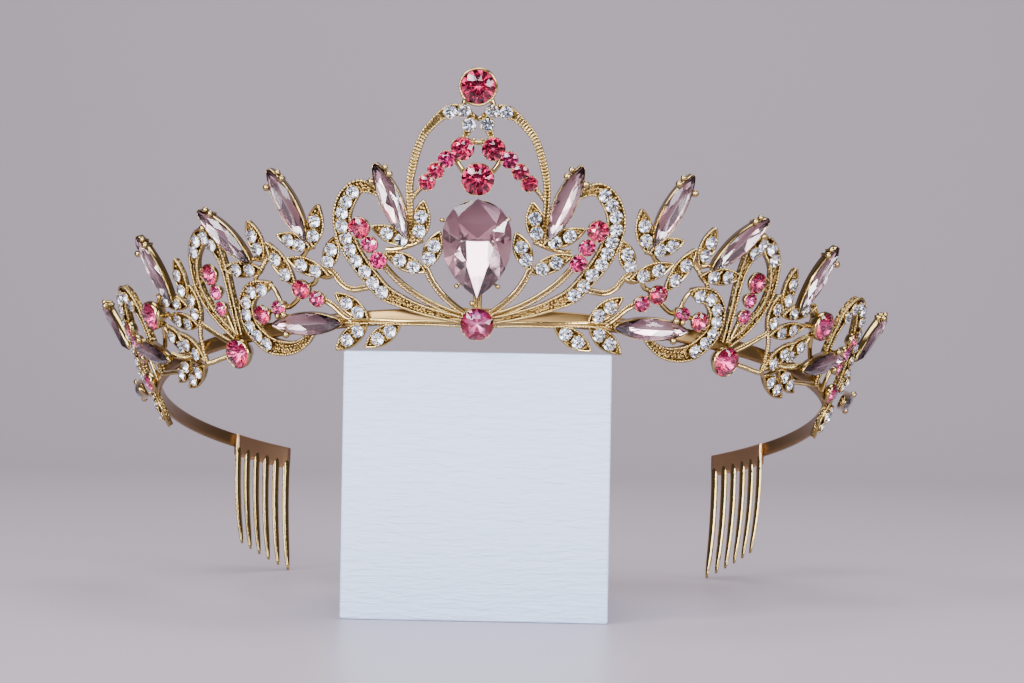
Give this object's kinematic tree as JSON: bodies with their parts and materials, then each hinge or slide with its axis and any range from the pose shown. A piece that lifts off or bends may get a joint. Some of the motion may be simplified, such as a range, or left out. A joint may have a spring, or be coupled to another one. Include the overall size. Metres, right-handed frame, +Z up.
{
  "type": "tiara on display box",
  "caption": "Gilt tiara of pierced leaves and scrolls set with rose and clear stones, with a head band and side combs, shown on a plain white square box.",
  "frame": {"origin": "centre of the foot of the bounding box, on the table that the box and the combs rest on", "axes": "+X to the right of a viewer in front of the tiara, -Y towards that viewer, +Z up"},
  "size_m": [0.1658, 0.1294, 0.1025],
  "materials": {
    "champagne_gold": "bright plated, milgrain edges",
    "rose_glass": "polished, foil-backed",
    "blush_crystal": "polished, foil-backed",
    "white_card": "paper-covered, fine grain"
  },
  "bodies": {
    "root": {"tiara_frame": "champagne_gold", "display_box": "white_card", "pear_stone": "blush_crystal", "round_finial": "rose_glass", "round_centre": "rose_glass", "round_bottom": "rose_glass", "round_side_front_left": "rose_glass", "round_side_front_right": "rose_glass", "round_side_back_left": "rose_glass", "round_side_back_right": "rose_glass", "marquise_1_left": "blush_crystal", "marquise_1_right": "blush_crystal", "marquise_2_left": "blush_crystal", "marquise_2_right": "blush_crystal", "marquise_3_left": "blush_crystal", "marquise_3_right": "blush_crystal", "marquise_4_left": "blush_crystal", "marquise_4_right": "blush_crystal", "marquise_5_left": "blush_crystal", "marquise_5_right": "blush_crystal", "marquise_6_left": "blush_crystal", "marquise_6_right": "blush_crystal", "marquise_7_left": "blush_crystal", "marquise_7_right": "blush_crystal", "marquise_8_left": "blush_crystal", "marquise_8_right": "blush_crystal"}
  },
  "joints": []
}
